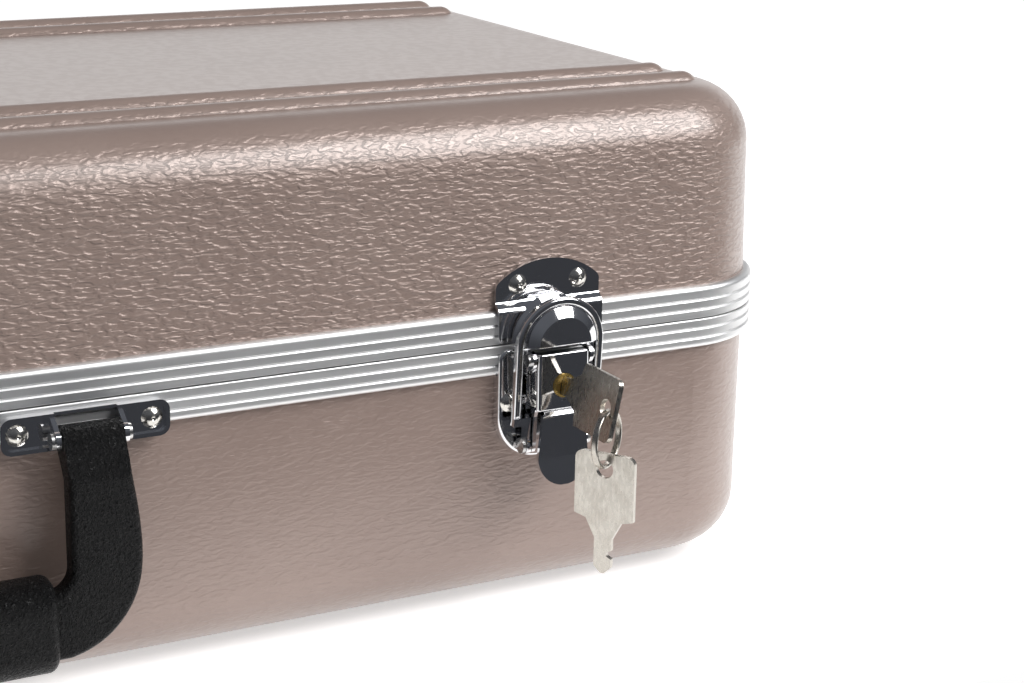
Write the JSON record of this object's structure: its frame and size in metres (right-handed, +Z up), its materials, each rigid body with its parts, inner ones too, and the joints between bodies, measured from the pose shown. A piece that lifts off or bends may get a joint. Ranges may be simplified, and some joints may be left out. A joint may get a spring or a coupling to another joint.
{
  "type": "trumpet case",
  "caption": "Hard trumpet case with ribbed edging, a hinged padded lid, chrome draw latches with key locks, a swing handle and a key with its spare on a ring",
  "frame": {"origin": "middle of the case's footprint, on the surface that the case lies on", "axes": "+X along the case, to the right as seen from the latches; -Y towards the latches and handle; +Z up to the lid"},
  "size_m": [0.57, 0.2959, 0.1546],
  "materials": {
    "shell": "satin metallic with fine leather grain",
    "edging": "brushed",
    "chrome": "polished",
    "steel": "satin",
    "nickel": "bright nickel",
    "brass": "machined",
    "handle": "fine grain",
    "rubber": "matte",
    "plush": "short plush"
  },
  "bodies": {
    "base": {"base_shell": "shell", "base_edging": "edging", "base_edging_joiner": "steel", "trumpet_insert": "plush", "tray_insert": "plush", "base_feet": "rubber", "latch_plate_left": "chrome", "latch_plate_right": "chrome", "lever_pin_left": "chrome", "lever_pin_right": "chrome", "latch_plate_rivets": "steel", "handle_bracket_left": "chrome", "handle_bracket_right": "chrome", "handle_pin_left": "chrome", "handle_pin_right": "chrome", "handle_rivets": "steel", "base_hinge_leaf_left": "steel", "base_hinge_leaf_right": "steel", "hinge_pin_left": "steel", "hinge_pin_right": "steel", "base_hinge_rivets": "steel", "base_joiner_rivets": "steel"},
    "lid": {"lid_shell": "shell", "lid_edging": "edging", "lid_edging_joiner": "steel", "lid_pad": "plush", "lid_feet": "rubber", "strike_plate_left": "chrome", "strike_plate_right": "chrome", "strike_rivets": "steel", "lid_hinge_leaf_left": "steel", "lid_hinge_leaf_right": "steel", "lid_hinge_rivets": "steel", "lid_joiner_rivets": "steel"},
    "handle": {"handle": "handle"},
    "key": {"key": "nickel"},
    "key_ring": {"key_ring": "nickel"},
    "spare_key": {"spare_key": "nickel"},
    "lever_left": {"lever_left": "chrome", "finger_tab_left": "chrome", "lock_barrel_left": "steel", "loop_pins_left": "chrome"},
    "loop_left": {"latch_loop_left": "chrome"},
    "plug_left": {"lock_plug_left": "brass"},
    "lever_right": {"lever_right": "chrome", "finger_tab_right": "chrome", "lock_barrel_right": "steel", "loop_pins_right": "chrome"},
    "loop_right": {"latch_loop_right": "chrome"},
    "plug_right": {"lock_plug_right": "brass"}
  },
  "joints": [
    {"name": "lid_hinge", "type": "hinge", "parent": "base", "child": "lid", "pos_m": [0, 0.1266, 0.0838], "axis": [-1, 0, 0], "range_deg": [0, 100]},
    {"name": "handle_swing", "type": "hinge", "parent": "base", "child": "handle", "pos_m": [0, -0.1294, 0.0758], "axis": [-1, 0, 0], "range_deg": [0, 150]},
    {"name": "lever_swing_left", "type": "hinge", "parent": "base", "child": "lever_left", "pos_m": [-0.198, -0.1304, 0.0802], "axis": [-1, 0, 0], "range_deg": [0, 65]},
    {"name": "loop_swing_left", "type": "hinge", "parent": "lever_left", "child": "loop_left", "pos_m": [-0.198, -0.1282, 0.0538], "axis": [-1, 0, 0], "range_deg": [-42.3, 0]},
    {"name": "plug_turn_left", "type": "hinge", "parent": "lever_left", "child": "plug_left", "pos_m": [-0.198, -0.13, 0.0724], "axis": [0, -1, 0], "range_deg": [0, 90]},
    {"name": "lever_swing_right", "type": "hinge", "parent": "base", "child": "lever_right", "pos_m": [0.198, -0.1304, 0.0802], "axis": [-1, 0, 0], "range_deg": [0, 65]},
    {"name": "loop_swing_right", "type": "hinge", "parent": "lever_right", "child": "loop_right", "pos_m": [0.198, -0.1282, 0.0538], "axis": [-1, 0, 0], "range_deg": [-42.3, 0]},
    {"name": "plug_turn_right", "type": "hinge", "parent": "lever_right", "child": "plug_right", "pos_m": [0.198, -0.13, 0.0724], "axis": [0, -1, 0], "range_deg": [0, 90]},
    {"name": "key_slide", "type": "slide", "parent": "plug_right", "child": "key", "axis": [0, -1, 0], "range_m": [0, 0.012]},
    {"name": "ring_swing", "type": "hinge", "parent": "key", "child": "key_ring", "pos_m": [0.198, -0.1582, 0.0724], "axis": [-0.9781, 0, 0.2079], "range_deg": [-15, 40]},
    {"name": "spare_swing", "type": "hinge", "parent": "key_ring", "child": "spare_key", "pos_m": [0.198, -0.1582, 0.0546], "axis": [0.8387, 0.5446, 0], "range_deg": [-30, 30]}
  ],
  "couplings": [
    {"joint": "loop_swing_left", "follows": "lever_swing_left", "ratio": -0.65},
    {"joint": "loop_swing_right", "follows": "lever_swing_right", "ratio": -0.65}
  ]
}
